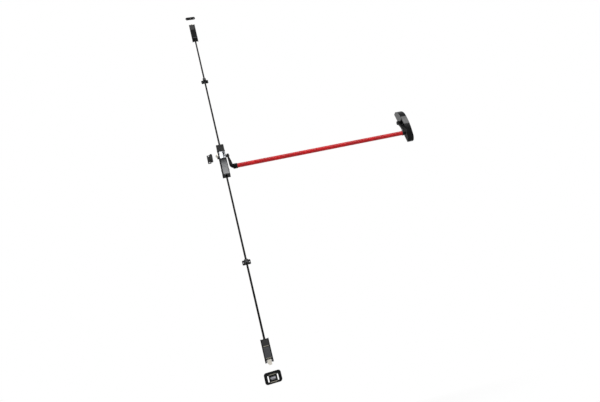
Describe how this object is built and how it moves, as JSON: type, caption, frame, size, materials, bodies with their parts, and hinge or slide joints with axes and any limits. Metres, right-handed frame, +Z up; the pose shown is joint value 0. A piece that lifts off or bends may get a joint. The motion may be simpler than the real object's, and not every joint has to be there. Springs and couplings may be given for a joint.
{
  "type": "multipoint panic lock",
  "caption": "Surface panic lock: a red push bar on cranked arms draws a top rod, a bottom rod and a side latch.",
  "frame": {"origin": "on the door's face behind the bar's pivot axis, on the line of the two rods", "axes": "+X along the push bar to the hinge side, +Y into the door, +Z up along the rods"},
  "size_m": [1.086, 0.073, 2.147],
  "materials": {
    "bright_steel": "bright zinc plated sheet, fine brushed lines",
    "black_paint": "gloss black powder coat, worn bright at sharp edges",
    "grey_cover": "satin anthracite paint",
    "dark_steel": "dark phosphated steel",
    "bush": "oiled sintered bush, nearly black",
    "nylon": "black moulded nylon",
    "spring_steel": "oiled spring wire",
    "red_paint": "gloss red powder coat on a steel tube",
    "nickel_bolt": "satin nickel plated steel"
  },
  "bodies": {
    "root": {"lock_base_plate": "bright_steel", "lock_case": "bright_steel", "top_cover": "black_paint", "lower_cover": "grey_cover", "bottom_cap": "black_paint", "cover_screws": "dark_steel", "shaft_bracket": "dark_steel", "shaft_bush": "bush", "pinion_axle": "dark_steel", "pinion_spacers": "dark_steel", "spring_seat": "dark_steel", "latch_plate": "black_paint", "upper_guide": "black_paint", "lower_guide": "black_paint", "guide_liners": "nylon", "upper_case_base": "black_paint", "upper_case_panel": "black_paint", "upper_case_cap": "black_paint", "upper_bolt_guide": "nylon", "rod_bushes": "nylon", "lower_case_base": "black_paint", "lower_case_panel": "grey_cover", "lower_case_cap": "black_paint", "lower_bolt_guide": "nylon", "end_base_plate": "bright_steel", "end_block": "dark_steel", "end_bush": "bush", "end_cover": "black_paint", "end_cover_screws": "dark_steel", "top_strike": "black_paint", "side_strike": "black_paint", "floor_strike": "black_paint", "floor_strike_insert": "bright_steel", "main_spring": "spring_steel", "upper_bolt_spring": "spring_steel", "lower_bolt_spring": "spring_steel", "trigger_spring": "spring_steel"},
    "push_bar": {"bar_tube": "red_paint", "left_arm": "black_paint", "right_arm": "black_paint", "drive_shaft": "dark_steel", "sector_gear": "dark_steel", "retaining_rings": "dark_steel", "end_shaft": "dark_steel", "arm_screws": "dark_steel", "arm_grub_screws": "dark_steel"},
    "pinion": {"pinion": "dark_steel"},
    "upper_rod": {"upper_rack": "dark_steel", "upper_rod": "black_paint", "upper_bolt": "nickel_bolt", "upper_pins": "dark_steel"},
    "lower_rod": {"lower_rack": "dark_steel", "lower_rod": "black_paint", "lower_bolt": "nickel_bolt", "lower_pins": "dark_steel"},
    "latch": {"latch": "nickel_bolt", "latch_pin": "dark_steel"},
    "trigger": {"trigger": "black_paint"}
  },
  "joints": [
    {"name": "bar_press", "type": "hinge", "parent": "root", "child": "push_bar", "pos_m": [0, -0.016, 0], "axis": [1, 0, 0], "range_deg": [0, 22], "stiffness_Nm_per_rad": 1.2, "springref_deg": -68.75},
    {"name": "pinion_turn", "type": "hinge", "parent": "root", "child": "pinion", "pos_m": [0, -0.016, -0.036], "axis": [1, 0, 0], "range_deg": [-77.01, 0]},
    {"name": "upper_rod_slide", "type": "slide", "parent": "root", "child": "upper_rod", "axis": [0, 0, 1], "range_m": [-0.01076, 0], "stiffness_N_per_m": 200, "springref_m": 0.04, "deforming": ["upper_bolt_spring"]},
    {"name": "lower_rod_slide", "type": "slide", "parent": "root", "child": "lower_rod", "axis": [0, 0, 1], "range_m": [0, 0.01076], "stiffness_N_per_m": 150, "springref_m": -0.03, "deforming": ["main_spring", "lower_bolt_spring"]},
    {"name": "latch_slide", "type": "slide", "parent": "root", "child": "latch", "axis": [1, 0, 0], "range_m": [0, 0.01345]},
    {"name": "trigger_slide", "type": "slide", "parent": "root", "child": "trigger", "axis": [1, 0, 0], "range_m": [0, 0.006], "stiffness_N_per_m": 120, "springref_m": -0.004, "deforming": ["trigger_spring"]}
  ],
  "couplings": [
    {"joint": "pinion_turn", "follows": "bar_press", "ratio": -3.5},
    {"joint": "upper_rod_slide", "follows": "bar_press", "m_per_rad": -0.028},
    {"joint": "lower_rod_slide", "follows": "bar_press", "m_per_rad": 0.028},
    {"joint": "latch_slide", "follows": "bar_press", "m_per_rad": 0.035}
  ]
}
